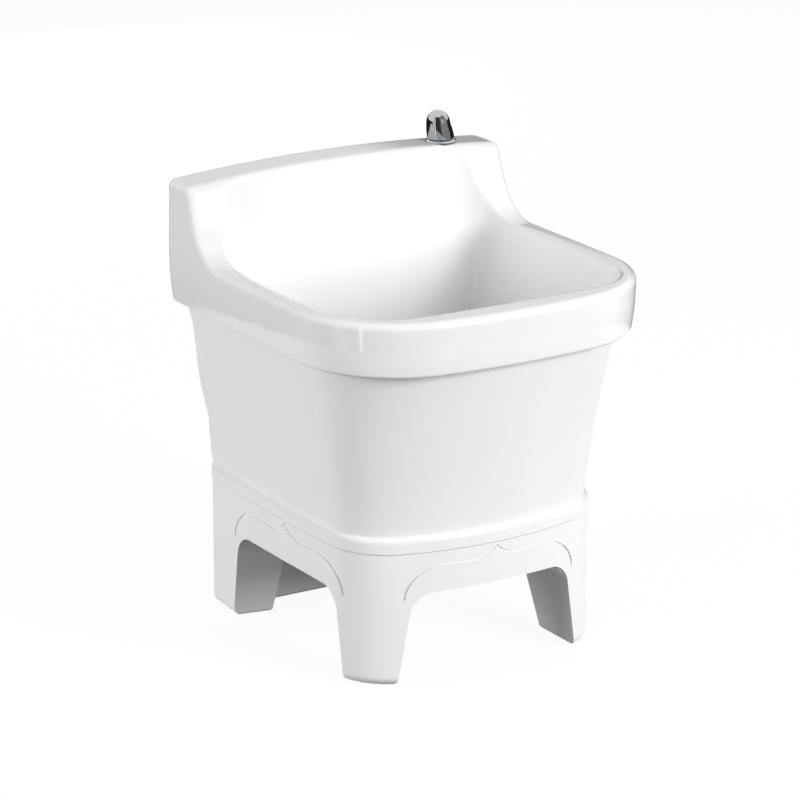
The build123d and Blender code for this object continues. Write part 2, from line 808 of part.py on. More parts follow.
with BuildPart() as pivot_lever:
    with Locations(lever_point(0)):
        Sphere(ball_radius)
    outwards = Vector(lever_point(1)) - Vector(lever_point(0))
    with BuildSketch(Plane(lever_point(-inner_length), z_dir=outwards)):
        Circle(lever_radius)
    extrude(amount=inner_length + outer_length)
save(pivot_lever, "pivot_lever")

# ---------------------------------------------------------------- stopper
head_bottom = flange_top + free_gap + stopper_travel
lever_tip_z = pivot_height + pivot_reach * tan(swing)

with BuildPart() as stopper:
    ring(stopper_radius, 0, head_bottom, head_bottom + stopper_height)
    fillet(stopper.edges().group_by(Axis.Z)[-1], stopper_height * 0.7)
    ring(stem_radius, 0, lever_tip_z - stem_foot, head_bottom)
    with BuildSketch(Plane.XY.offset(head_bottom - seal_height - vane_height)):
        with Locations((0, waste_y)):
            for turn in (0, 90):
                Rectangle(2 * (waste_bore_radius - free_gap), vane_width, rotation=turn)
    extrude(amount=vane_height)
    with BuildSketch(reach_plane(-2 * stem_radius, lever_tip_z)):
        Circle(lever_radius + eye_gap)
    extrude(amount=4 * stem_radius, mode=Mode.SUBTRACT)
save(stopper, "stopper")

with BuildPart() as stopper_seal:
    ring(waste_bore_radius - free_gap, stem_radius + running_gap, head_bottom - seal_height, head_bottom)
save(stopper_seal, "stopper_seal")


# ---------------------------------------------------------------- lift rod, strap and knob
def upright(radius, bottom, top, mode=Mode.ADD):
    """Upright cylinder on the rod's axis between two heights, in the open part."""
    with BuildSketch(Plane.XY.offset(bottom)) as section:
        with Locations((knob_x, knob_y)):
            Circle(radius)
    extrude(section.sketch, amount=top - bottom, mode=mode)


gasket_top = knob_seat_height + knob_gasket_thickness
flange_face = gasket_top + knob_flange_thickness
knob_bottom = flange_face + free_gap
knob_top = knob_bottom + knob_height

with BuildPart() as flange_gasket:
    upright(knob_flange_radius - gasket_inset, knob_seat_height, gasket_top)
    upright(bush_radius + running_gap, knob_seat_height, gasket_top, Mode.SUBTRACT)
save(flange_gasket, "flange_gasket")

with BuildPart() as knob_flange:
    upright(knob_flange_radius, gasket_top, flange_face)
    fillet(knob_flange.edges().group_by(Axis.Z)[-1], knob_flange_thickness * 0.7)
    upright(bush_radius + running_gap, gasket_top, flange_face, Mode.SUBTRACT)
    upright(bush_head_radius + running_gap, flange_face - bush_head, flange_face, Mode.SUBTRACT)
save(knob_flange, "knob_flange")

with BuildPart() as guide_bush:
    upright(bush_radius, bush_end, flange_face - bush_head)
    upright(bush_head_radius, flange_face - bush_head, flange_face)
    upright(rod_radius + running_gap, bush_end, flange_face, Mode.SUBTRACT)
save(guide_bush, "guide_bush")

with BuildPart() as guide_nut:
    with BuildSketch(Plane.XY.offset(ledge_ceiling - guide_nut_height)):
        with Locations((knob_x, knob_y)):
            RegularPolygon(guide_nut_flats / 2, 6, major_radius=False)
            Circle(bush_radius + running_gap, mode=Mode.SUBTRACT)
    extrude(amount=guide_nut_height)
save(guide_nut, "guide_nut")

with BuildPart() as lift_rod:
    upright(rod_radius, rod_end, knob_bottom + rod_grip)
    chamfer(lift_rod.edges().group_by(Axis.Z)[0], rod_radius / 4)
save(lift_rod, "lift_rod")

with BuildPart() as lift_knob:
    for rise, width, depth, shift in knob_shape:
        with BuildSketch(Plane.XY.offset(knob_bottom + rise * knob_height)):
            with Locations((knob_x + shift, knob_y)):
                Ellipse(width * knob_base_radius, depth * knob_base_radius)
    loft()
    fillet(lift_knob.edges().group_by(Axis.Z)[-1], knob_crown_rounding)
    upright(rod_radius + running_gap, knob_bottom, knob_bottom + rod_grip, Mode.SUBTRACT)
    with BuildSketch(Plane.XZ.offset(-knob_y)):
        with Locations((knob_x, knob_bottom + grub_height)):
            Circle(grub_radius + running_gap)
    extrude(amount=-2 * knob_base_radius, mode=Mode.SUBTRACT)
save(lift_knob, "lift_knob")

with BuildPart() as knob_screw:
    with BuildSketch(Plane.XZ.offset(-knob_y - rod_radius - running_gap)):
        with Locations((knob_x, knob_bottom + grub_height)):
            Circle(grub_radius)
    extrude(amount=-grub_length)
save(knob_screw, "knob_screw")

hole_height = pivot_height - lift_travel / 2
strap_bottom = hole_height - strap_width / 2
screw_height = (strap_top + rod_end) / 2

with BuildPart() as rod_strap:
    with BuildSketch(reach_plane(strap_reach, 0)):
        with Locations((0, (strap_top + strap_bottom) / 2)):
            RectangleRounded(strap_width, strap_top - strap_bottom, strap_width / 3)
        for step in range(strap_holes):
            with Locations((0, hole_height + step * strap_pitch)):
                Circle(lever_radius + strap_hole_gap, mode=Mode.SUBTRACT)
        with Locations((0, screw_height)):
            Circle(screw_radius + running_gap, mode=Mode.SUBTRACT)
    extrude(amount=strap_thickness / 2, both=True)
    for height in (rod_end + tab_inset, strap_top - tab_inset - strap_thickness):
        with BuildSketch(Plane.XY.offset(height)):
            with Locations(Location((knob_x, knob_y), lever_heading)):
                with Locations((-rod_radius, 0)):
                    Rectangle(2 * (rod_radius + tab_margin) + strap_thickness, strap_width - 2)
        extrude(amount=strap_thickness)
    upright(rod_radius + running_gap, rod_end, strap_top, Mode.SUBTRACT)
save(rod_strap, "rod_strap")

with BuildPart() as strap_screw:
    with BuildSketch(reach_plane(strap_reach - strap_thickness / 2 - screw_head, screw_height)):
        Circle(screw_head_radius)
    extrude(amount=screw_head)
    chamfer(strap_screw.edges(), screw_head / 8)
    with BuildSketch(reach_plane(strap_reach - strap_thickness / 2, screw_height)):
        Circle(screw_radius)
    extrude(amount=strap_thickness + running_gap)
save(strap_screw, "strap_screw")

with BuildPart() as spring_clip:
    clip_half = strap_thickness / 2 + running_gap
    with BuildSketch(reach_plane(strap_reach, 0)):
        with Locations((0, (strap_bottom - running_gap - clip_thickness + hole_height + clip_rise) / 2)):
            Rectangle(clip_width, hole_height + clip_rise - strap_bottom + running_gap + clip_thickness)
        with Locations((0, hole_height)):
            Circle(lever_radius + strap_hole_gap, mode=Mode.SUBTRACT)
    extrude(amount=clip_half + clip_thickness, both=True)
    with BuildSketch(reach_plane(strap_reach, 0)):
        with Locations((0, (strap_bottom + hole_height + clip_rise) / 2)):
            Rectangle(2 * clip_width, hole_height + clip_rise - strap_bottom + 2 * running_gap)
    extrude(amount=clip_half, both=True, mode=Mode.SUBTRACT)
save(spring_clip, "spring_clip")
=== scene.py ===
"""Utility laundry sink in glazed ceramic, dressed and lit as a studio product picture.

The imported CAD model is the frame. Its ceramic, fittings and linkage keep their places, and this
script gives each one its finish and replaces the ones that deserve more detail than a CAD solid.
The scene is in metres, the floor is Z = 0 and the front of the sink faces -Y.
"""

import logging
import math
from collections.abc import Callable, Sequence
from dataclasses import dataclass
from enum import Enum

import bpy
from bpy.types import Material, Node, NodeSocket, NodeTree, Object
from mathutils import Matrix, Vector

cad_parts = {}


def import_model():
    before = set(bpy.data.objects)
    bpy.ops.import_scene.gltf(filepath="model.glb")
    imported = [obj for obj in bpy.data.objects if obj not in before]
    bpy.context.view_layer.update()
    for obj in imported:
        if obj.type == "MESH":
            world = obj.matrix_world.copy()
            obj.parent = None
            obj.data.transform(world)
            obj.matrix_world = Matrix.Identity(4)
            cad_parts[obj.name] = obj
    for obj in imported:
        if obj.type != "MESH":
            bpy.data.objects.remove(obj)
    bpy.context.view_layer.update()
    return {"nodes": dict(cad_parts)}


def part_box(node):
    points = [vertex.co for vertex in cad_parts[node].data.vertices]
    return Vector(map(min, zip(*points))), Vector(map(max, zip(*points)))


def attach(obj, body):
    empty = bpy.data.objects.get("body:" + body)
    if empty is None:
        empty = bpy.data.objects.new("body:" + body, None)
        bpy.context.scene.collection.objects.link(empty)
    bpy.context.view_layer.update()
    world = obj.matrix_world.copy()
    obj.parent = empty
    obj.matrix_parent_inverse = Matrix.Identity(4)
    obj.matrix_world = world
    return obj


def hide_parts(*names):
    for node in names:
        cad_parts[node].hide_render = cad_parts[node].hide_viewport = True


log = logging.getLogger("laundry_sink")

MM = 0.001
FULL_TURN = 2 * math.pi
WELD = 0.01 * MM  # points of a new piece that are closer than this are one
CAD_WELD = 0.001 * MM  # the same for a copy of a CAD node
WHITE = "#ffffff"


class Body(Enum):
    """Bodies of the sink that the new pieces ride on."""

    SINK = "sink"
    LIFT = "lift"
    STOPPER = "stopper"


class Slot(Enum):
    """Material slots of the record."""

    GREY_RUBBER = "grey_rubber"
    CHROME = "chrome"
    BRASS = "brass"
    PLASTIC = "white_plastic"


class Element(Enum):
    """What a selection picks from a mesh."""

    VERTS = "VERT"
    EDGES = "EDGE"
    FACES = "FACE"


# ---------------------------------------------------------------- finishes
def linear(colour: str) -> tuple[float, float, float, float]:
    """Turn an sRGB hex colour into the linear colour that a shader takes.

    The numbers are those of the sRGB curve.

    Args:
        colour: Six hex digits after a hash, such as "#f4f5f4".

    Returns:
        Red, green, blue and an alpha of 1.
    """
    channels = [int(colour[start : start + 2], 16) / 255 for start in (1, 3, 5)]
    red, green, blue = (
        value / 12.92 if value <= 0.04045 else ((value + 0.055) / 1.055) ** 2.4
        for value in channels
    )
    return red, green, blue, 1.0


def per_metre(spacing: float) -> float:
    """Texture scale that repeats a pattern at a spacing in millimetres."""
    return 1 / (spacing * MM)


def add_node(
    tree: NodeTree, kind: str, inputs: dict[str | int, object] | None = None, **settings: object
) -> Node:
    """Add one node to a material, with its settings, values and links.

    Args:
        tree: Node tree of the material.
        kind: Blender's name of the node.
        inputs: Value, or output socket to link, for each input socket by name or number.
        **settings: Properties of the node itself.

    Returns:
        The new node.
    """
    made = tree.nodes.new(kind)
    for name, value in settings.items():
        setattr(made, name, value)
    for socket, value in (inputs or {}).items():
        if isinstance(value, NodeSocket):
            tree.links.new(value, made.inputs[socket])
        else:
            made.inputs[socket].default_value = value
    return made


@dataclass(frozen=True)
class Finish:
    """A surface finish, made once as a node material and shared by the pieces that have it."""

    name: str
    colour: str
    second_colour: str
    roughness: float
    roughness_swing: float
    metallic: float = 0.0

    def material(self) -> Material:
        """Blender material of this finish, made on first use.

        Returns:
            The material, with its pattern wired.
        """
        known = bpy.data.materials.get(self.name)
        if known:
            return known
        made = bpy.data.materials.new(self.name)
        made.use_nodes = True
        tree = made.node_tree
        shader = tree.nodes["Principled BSDF"]
        shader.inputs["Metallic"].default_value = self.metallic
        place = add_node(tree, "ShaderNodeTexCoord").outputs["Object"]
        self.dress(tree, shader, place)
        return made

    def dress(self, tree: NodeTree, shader: Node, place: NodeSocket) -> None:
        """Wire the pattern of this finish to the shader.

        Args:
            tree: Node tree of the material.
            shader: Its Principled BSDF.
            place: Object coordinates in metres.
        """
        raise NotImplementedError

    def blotch(self, tree: NodeTree, shader: Node, pattern: NodeSocket) -> None:
        """Let a pattern vary colour and roughness between the two values of the finish.

        Args:
            tree: Node tree of the material.
            shader: Its Principled BSDF.
            pattern: Value from 0 to 1.
        """
        tint = add_node(
            tree,
            "ShaderNodeMix",
            {"Factor": pattern, "A": linear(self.colour), "B": linear(self.second_colour)},
            data_type="RGBA",
        )
        tree.links.new(tint.outputs["Result"], shader.inputs["Base Color"])
        gloss = add_node(
            tree,
            "ShaderNodeMapRange",
            {
                "Value": pattern,
                "To Min": self.roughness,
                "To Max": self.roughness + self.roughness_swing,
            },
        )
        tree.links.new(gloss.outputs["Result"], shader.inputs["Roughness"])

    @staticmethod
    def relief(tree: NodeTree, shader: Node, height: NodeSocket, depth: float) -> None:
        """Raise a pattern as bumps on the surface.

        Args:
            tree: Node tree of the material.
            shader: Its Principled BSDF.
            height: Value from 0 to 1.
            depth: Height of the bumps in millimetres.
        """
        bump = add_node(tree, "ShaderNodeBump", {"Height": height, "Distance": depth * MM})
        tree.links.new(bump.outputs["Normal"], shader.inputs["Normal"])


@dataclass(frozen=True)
class FiredGlaze(Finish):
    """Opaque white glaze fired on slip-cast ware.

    It looks wet and deep: reflections are sharp, and they waver a little because the cast wall
    under the glaze is never quite flat. The rings that stood in the kiln are left unglazed.
    """

    ior: float = 1.52
    waver: float = 75.0  # spacing of the slow waves in the cast wall, mm
    waver_depth: float = 0.06
    peel: float = 5.0  # spacing of the orange peel in the glaze, mm
    peel_depth: float = 0.006
    bare_height: float = 3.2  # height of the unglazed foot rings, mm
    bare_fade: float = 1.0  # height over which the glaze sets in above them, mm
    bisque: str = "#c9c1b2"
    bisque_roughness: float = 0.85

    def dress(self, tree: NodeTree, shader: Node, place: NodeSocket) -> None:
        """Wire glaze, cast waves, orange peel and bare foot rings.

        Args:
            tree: Node tree of the material.
            shader: Its Principled BSDF.
            place: Object coordinates in metres.
        """
        shader.inputs["IOR"].default_value = self.ior
        slow = add_node(
            tree,
            "ShaderNodeTexNoise",
            {"Vector": place, "Scale": per_metre(self.waver), "Detail": 1.0},
        ).outputs["Fac"]
        fine = add_node(
            tree,
            "ShaderNodeTexNoise",
            {"Vector": place, "Scale": per_metre(self.peel), "Detail": 2.0},
        ).outputs["Fac"]
        self.blotch(tree, shader, slow)
        height = add_node(
            tree,
            "ShaderNodeMath",
            {0: fine, 1: self.peel_depth / self.waver_depth, 2: slow},
            operation="MULTIPLY_ADD",
        ).outputs["Value"]
        self.relief(tree, shader, height, self.waver_depth)
        rise = add_node(tree, "ShaderNodeSeparateXYZ", {"Vector": place}).outputs["Z"]
        bare = add_node(
            tree,
            "ShaderNodeMapRange",
            {
                "Value": rise,
                "From Min": self.bare_height * MM,
                "From Max": (self.bare_height + self.bare_fade) * MM,
                "To Min": 1.0,
                "To Max": 0.0,
            },
        ).outputs["Result"]
        feet = (
            ("Base Color", "RGBA", linear(self.bisque)),
            ("Roughness", "FLOAT", self.bisque_roughness),
        )
        for socket, kind, foot in feet:
            glazed = shader.inputs[socket].links[0].from_socket
            blend = add_node(
                tree, "ShaderNodeMix", {"Factor": bare, "A": glazed, "B": foot}, data_type=kind
            )
            tree.links.new(blend.outputs["Result"], shader.inputs[socket])


@dataclass(frozen=True)
class ChromePlate(Finish):
    """Bright chromium plate on polished brass or zinc.

    It mirrors the room in hard light and dark bands, with a few hazy finger marks.
    """

    haze: float = 14.0  # spacing of the hazy marks, mm
    polish: float = 0.9  # spacing of the polishing lines, mm, coarser than real ones so they show
    polish_reach: float = 9.0  # how many times as long as wide a line is
    polish_depth: float = 0.0004

    def dress(self, tree: NodeTree, shader: Node, place: NodeSocket) -> None:
        """Wire haze and polishing lines.

        Args:
            tree: Node tree of the material.
            shader: Its Principled BSDF.
            place: Object coordinates in metres.
        """
        marks = add_node(
            tree,
            "ShaderNodeTexNoise",
            {"Vector": place, "Scale": per_metre(self.haze), "Detail": 5.0, "Roughness": 0.6},
        ).outputs["Fac"]
        self.blotch(tree, shader, marks)
        stretched = add_node(
            tree, "ShaderNodeMapping", {"Vector": place, "Scale": (1.0, 1.0, self.polish_reach)}
        ).outputs["Vector"]
        lines = add_node(
            tree,
            "ShaderNodeTexNoise",
            {"Vector": stretched, "Scale": per_metre(self.polish * self.polish_reach)},
        ).outputs["Fac"]
        self.relief(tree, shader, lines, self.polish_depth)


@dataclass(frozen=True)
class MachinedMetal(Finish):
    """Brass or steel bar, turned or drawn, left as it comes from the machine.

    Fine parallel lines run round or along it, so its highlight is broad and streaky.
    """

    line: float = 0.8  # spacing of the tool lines, mm, coarse enough to show
    stretch: tuple[float, float, float] = (1.0, 1.0, 12.0)  # closer together along one way
    line_depth: float = 0.01

    def dress(self, tree: NodeTree, shader: Node, place: NodeSocket) -> None:
        """Wire tool lines and a slight stain.

        Args:
            tree: Node tree of the material.
            shader: Its Principled BSDF.
            place: Object coordinates in metres.
        """
        turned = add_node(
            tree, "ShaderNodeMapping", {"Vector": place, "Scale": self.stretch}
        ).outputs["Vector"]
        lines = add_node(
            tree,
            "ShaderNodeTexNoise",
            {"Vector": turned, "Scale": per_metre(self.line * max(self.stretch)), "Detail": 3.0},
        ).outputs["Fac"]
        self.blotch(tree, shader, lines)
        self.relief(tree, shader, lines, self.line_depth)


@dataclass(frozen=True)
class MouldedPolymer(Finish):
    """Plastic or rubber pressed in a spark-eroded mould, or silicone smoothed by hand.

    The mould leaves a fine even grain, which spreads the highlight into a soft sheen.
    """

    grain: float = 1.1  # spacing of the mould grain, mm, coarse enough to show
    grain_depth: float = 0.02
    cloud: float = 22.0  # spacing of the faint flow marks, mm
    ior: float = 1.5

    def dress(self, tree: NodeTree, shader: Node, place: NodeSocket) -> None:
        """Wire mould grain and flow marks.

        Args:
            tree: Node tree of the material.
            shader: Its Principled BSDF.
            place: Object coordinates in metres.
        """
        shader.inputs["IOR"].default_value = self.ior
        flow = add_node(
            tree,
            "ShaderNodeTexNoise",
            {"Vector": place, "Scale": per_metre(self.cloud), "Detail": 3.0},
        ).outputs["Fac"]
        self.blotch(tree, shader, flow)
        grain = add_node(
            tree,
            "ShaderNodeTexVoronoi",
            {"Vector": place, "Scale": per_metre(self.grain)},
        ).outputs["Distance"]
        self.relief(tree, shader, grain, self.grain_depth)


CERAMIC_GLAZE = FiredGlaze(
    name="fired_white_glaze",
    colour="#f5f6f6",
    second_colour="#f1f2f3",
    roughness=0.07,
    roughness_swing=0.05,
)
CHROME_PLATE = ChromePlate(
    name="bright_chrome_plate",
    colour="#c9cbcd",
    second_colour="#bcbfc2",
    roughness=0.03,
    roughness_swing=0.07,
    metallic=1.0,
)
TURNED_BRASS = MachinedMetal(
    name="turned_brass",
    colour="#c8a45a",
    second_colour="#a8823f",
    roughness=0.22,
    roughness_swing=0.2,
    metallic=1.0,
)
DRAWN_STEEL = MachinedMetal(
    name="drawn_stainless_steel",
    colour="#b9bbbb",
    second_colour="#9b9d9e",
    roughness=0.2,
    roughness_swing=0.18,
    metallic=1.0,
    stretch=(12.0, 12.0, 1.0),
)
# Sealant in the joint between basin and stand. Its dark grey is partly its own colour and partly
# painted shade, standing in for the shadow gap along the joint.
SEALANT_WITH_PAINTED_GAP_SHADE = MouldedPolymer(
    name="grey_sealant_with_painted_gap_shade",
    colour="#6e6e6c",
    second_colour="#666664",
    roughness=0.35,
    roughness_swing=0.1,
    ior=1.41,
)
GREY_RUBBER = MouldedPolymer(
    name="moulded_grey_rubber",
    colour="#6d6e6f",
    second_colour="#5f6061",
    roughness=0.62,
    roughness_swing=0.15,
)
BLACK_RUBBER = MouldedPolymer(
    name="moulded_black_rubber",
    colour="#242526",
    second_colour="#2e2f30",
    roughness=0.55,
    roughness_swing=0.15,
)
WHITE_POLYPROPYLENE = MouldedPolymer(
    name="moulded_white_polypropylene",
    colour="#ebebe6",
    second_colour="#e4e4df",
    roughness=0.36,
    roughness_swing=0.1,
    ior=1.49,
)

NODE_FINISHES: dict[str, Finish] = {
    "basin": CERAMIC_GLAZE,
    "stand": CERAMIC_GLAZE,
    # the bedding seal's dark grey is partly painted shade of the shadow gap at the joint
    "bedding_seal": SEALANT_WITH_PAINTED_GAP_SHADE,
    "foot_pads": GREY_RUBBER,
    "flange_gasket": BLACK_RUBBER,
    "flange_seal": BLACK_RUBBER,
    "lower_gasket": BLACK_RUBBER,
    "stopper_seal": BLACK_RUBBER,
    "tailpiece_washer": BLACK_RUBBER,
    "lift_knob": CHROME_PLATE,
    "knob_flange": CHROME_PLATE,
    "waste_flange": CHROME_PLATE,
    "stopper": CHROME_PLATE,
    "tailpiece": CHROME_PLATE,
    "guide_bush": TURNED_BRASS,
    "guide_nut": TURNED_BRASS,
    "back_nut": TURNED_BRASS,
    "lift_rod": DRAWN_STEEL,
    "rod_strap": DRAWN_STEEL,
    "strap_screw": DRAWN_STEEL,
    "spring_clip": DRAWN_STEEL,
    "pivot_lever": DRAWN_STEEL,
    "knob_screw": DRAWN_STEEL,
    "pivot_seat": WHITE_POLYPROPYLENE,
    "pivot_nut": WHITE_POLYPROPYLENE,
    "friction_washer": WHITE_POLYPROPYLENE,
    "waste_tee": WHITE_POLYPROPYLENE,
    "tailpiece_nut": WHITE_POLYPROPYLENE,
}


# ---------------------------------------------------------------- the bench
class Workpiece:
    """One mesh on the bench, shaped with Blender's own operators.

    Lengths are metres, apart from the profiles of turned pieces, which are millimetres.
    """

    def __init__(self, name: str, obj: Object) -> None:
        """Take a new mesh object onto the bench.

        Args:
            name: Name of the finished piece.
            obj: The new object.
        """
        self.obj = obj
        self.obj.name = name
        self.obj.data.name = name

    @staticmethod
    def clear() -> None:
        """Leave edit mode and deselect everything."""
        if bpy.context.object and bpy.context.object.mode != "OBJECT":
            bpy.ops.object.mode_set(mode="OBJECT")
        bpy.ops.object.select_all(action="DESELECT")

    @classmethod
    def disc(cls, name: str, radius: float, centre: Vector, sides: int = 48) -> "Workpiece":
        """Start from a flat round blank.

        Args:
            name: Name of the finished piece.
            radius: Radius of the blank.
            centre: Its centre.
            sides: Number of its corners.

        Returns:
            The blank on the bench.
        """
        cls.clear()
        bpy.ops.mesh.primitive_circle_add(
            vertices=sides, radius=radius, fill_type="NGON", location=centre
        )
        return cls(name, bpy.context.object)

    @classmethod
    def turned(
        cls, name: str, profile: Sequence[tuple[float, float]], axis: Vector, steps: int = 96
    ) -> "Workpiece":
        """Turn a profile round an upright axis, as on a lathe.

        Args:
            name: Name of the finished piece.
            profile: Radius and height of each corner in millimetres, once round the section.
            axis: A point on the upright axis; its height isn't used.
            steps: Number of steps in the turn.

        Returns:
            The turned piece, closed and facing outwards.
        """
        cls.clear()
        bpy.ops.mesh.primitive_plane_add(size=MM, location=(axis.x, axis.y, 0))
        piece = cls(name, bpy.context.object)
        piece.settle()
        bpy.ops.object.mode_set(mode="EDIT")
        bpy.ops.mesh.select_mode(type=Element.VERTS.value)
        bpy.ops.mesh.select_all(action="SELECT")
        bpy.ops.mesh.merge(type="CENTER")
        first, *rest = profile
        bpy.ops.transform.translate(value=(first[0] * MM, 0, first[1] * MM))
        here = first
        for corner in [*rest, first]:
            step = ((corner[0] - here[0]) * MM, 0, (corner[1] - here[1]) * MM)
            bpy.ops.mesh.extrude_region_move(TRANSFORM_OT_translate={"value": step})
            here = corner
        bpy.ops.mesh.select_all(action="SELECT")
        bpy.ops.mesh.remove_doubles(threshold=WELD)
        bpy.ops.mesh.spin(
            steps=steps, angle=FULL_TURN, center=(axis.x, axis.y, 0), axis=(0, 0, 1)
        )
        bpy.ops.mesh.select_all(action="SELECT")
        bpy.ops.mesh.remove_doubles(threshold=WELD)
        bpy.ops.mesh.normals_make_consistent(inside=False)
        bpy.ops.object.mode_set(mode="OBJECT")
        return piece

    @classmethod
    def copied(cls, name: str, node: Object) -> "Workpiece":
        """Start from a copy of a CAD node, with its loose triangles merged.

        Args:
            name: Name of the finished piece.
            node: The CAD node.

        Returns:
            The merged copy on the bench.
        """
        cls.clear()
        copy = bpy.data.objects.new(name, node.data.copy())
        bpy.context.scene.collection.objects.link(copy)
        piece = cls(name, copy)
        piece.take()
        bpy.ops.mesh.customdata_custom_splitnormals_clear()
        bpy.ops.object.mode_set(mode="EDIT")
        bpy.ops.mesh.select_all(action="SELECT")
        bpy.ops.mesh.remove_doubles(threshold=CAD_WELD)
        bpy.ops.object.mode_set(mode="OBJECT")
        return piece

    @classmethod
    def nut_blank(
        cls, name: str, flats: float, bore: float, height: float, base: Vector
    ) -> "Workpiece":
        """Saw a hexagonal nut blank off a bar, with its bore and softened corners.

        Args:
            name: Name of the finished piece.
            flats: Width across the flats.
            bore: Radius of the bore.
            height: Height of the nut.
            base: Middle of its lower face.

        Returns:
            The blank, bored and bevelled.
        """
        cls.clear()
        half_flat = math.pi / 6  # half of the turn that one flat takes up
        corner = flats / 2 / math.cos(half_flat)
        corner_round = corner / 22
        edge_round = corner / 30
        bpy.ops.mesh.primitive_circle_add(
            vertices=6, radius=corner, location=base, rotation=(0, 0, half_flat)
        )
        piece = cls(name, bpy.context.object)
        piece.settle()
        bpy.ops.object.mode_set(mode="EDIT")
        bpy.ops.mesh.select_mode(type=Element.VERTS.value)
        bpy.ops.mesh.select_all(action="SELECT")
        bpy.ops.mesh.bevel(offset=corner_round, segments=3, profile=0.5, affect="VERTICES")
        bpy.ops.mesh.select_all(action="SELECT")
        bpy.ops.mesh.subdivide(number_cuts=1)
        bpy.ops.mesh.primitive_circle_add(
            vertices=48, radius=bore, location=base, rotation=(0, 0, half_flat)
        )
        bpy.ops.mesh.select_all(action="SELECT")
        bpy.ops.mesh.bridge_edge_loops()
        bpy.ops.mesh.select_all(action="SELECT")
        bpy.ops.mesh.extrude_region_move(TRANSFORM_OT_translate={"value": (0, 0, height)})
        bpy.ops.mesh.select_all(action="SELECT")
        bpy.ops.mesh.normals_make_consistent(inside=False)

        def on_outline(middle: Vector, way: Vector) -> bool:
            """Tell the edges along the outline of the upper and the lower face.

            Args:
                middle: The edge's middle.
                way: Its direction.

            Returns:
                Whether it lies level with one of the faces, on the outside, and runs round it.
            """
            out = (middle - base).to_2d()
            level = abs(abs(middle.z - base.z - height / 2) - height / 2) < WELD
            outside = out.length > 0.98 * flats / 2
            along = abs(out.normalized() @ way.to_2d()) < 0.6
            return level and outside and along

        piece.pick(Element.EDGES, on_outline)
        bpy.ops.mesh.bevel(offset=edge_round, segments=2, profile=0.5, affect="EDGES")
        bpy.ops.object.mode_set(mode="OBJECT")
        return piece

    def twin(self, name: str, shift: Vector) -> "Workpiece":
        """Copy this piece, with a mesh of its own.

        Args:
            name: Name of the copy.
            shift: How far it is moved.

        Returns:
            The copy on the bench.
        """
        self.take()
        bpy.ops.object.duplicate(linked=False)
        copy = Workpiece(name, bpy.context.object)
        bpy.ops.transform.translate(value=shift)
        return copy

    def lay(self, place: Vector, way: Vector) -> None:
        """Lay a piece that was made upright at the origin in its place.

        Args:
            place: Where its base goes.
            way: Where its upper end points.
        """
        self.obj.location = place
        self.obj.rotation_euler = way.to_track_quat("Z", "Y").to_euler()
        self.settle()

    def take(self) -> None:
        """Make this piece the only selected and the active one."""
        self.clear()
        bpy.context.view_layer.objects.active = self.obj
        self.obj.select_set(True)

    def settle(self) -> None:
        """Put the object at the origin, unturned and unscaled, with its place in its mesh."""
        self.take()
        bpy.ops.object.transform_apply(location=True, rotation=True, scale=True)

    def pick(self, element: Element, wanted: Callable[[Vector, Vector], bool]) -> None:
        """Select elements by place and direction, and stay in edit mode.

        Args:
            element: Vertices, edges or faces.
            wanted: Takes an element's middle and its normal, or an edge's direction.
        """
        self.take()
        bpy.ops.object.mode_set(mode="EDIT")
        bpy.ops.mesh.select_mode(type=element.value)
        bpy.ops.mesh.select_all(action="DESELECT")
        bpy.ops.object.mode_set(mode="OBJECT")
        mesh = self.obj.data
        if element is Element.FACES:
            for face in mesh.polygons:
                face.select = wanted(face.center, face.normal)
        elif element is Element.EDGES:
            for edge in mesh.edges:
                start, end = (mesh.vertices[index].co for index in edge.vertices)
                edge.select = wanted((start + end) / 2, (end - start).normalized())
        else:
            for vertex in mesh.vertices:
                vertex.select = wanted(vertex.co, vertex.normal)
        bpy.ops.object.mode_set(mode="EDIT")

    def smooth(self, angle: float) -> None:
        """Shade smooth wherever neighbouring faces meet at less than an angle in degrees."""
        self.take()
        bpy.ops.object.shade_smooth_by_angle(angle=math.radians(angle))

    def finish(self, finish: Finish, slot: Slot, body: Body, node: str) -> None:
        """Dress the piece, let it ride on its body and let it stand for its CAD node.

        Args:
            finish: Its finish.
            slot: Material slot of the record; not used.
            body: The body that it moves with.
            node: CAD node that it replaces, alone or with other pieces.
        """
        self.settle()
        self.clear()
        self.obj.data.materials.clear()
        self.obj.data.materials.append(finish.material())
        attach(self.obj, body.value)
        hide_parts(node)
        log.info("%s: %d faces, %s", self.obj.name, len(self.obj.data.polygons), finish.name)


# ---------------------------------------------------------------- the sink
def middle_of(node: str) -> Vector:
    """Middle of a CAD node's box."""
    low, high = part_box(node)
    return (low + high) / 2


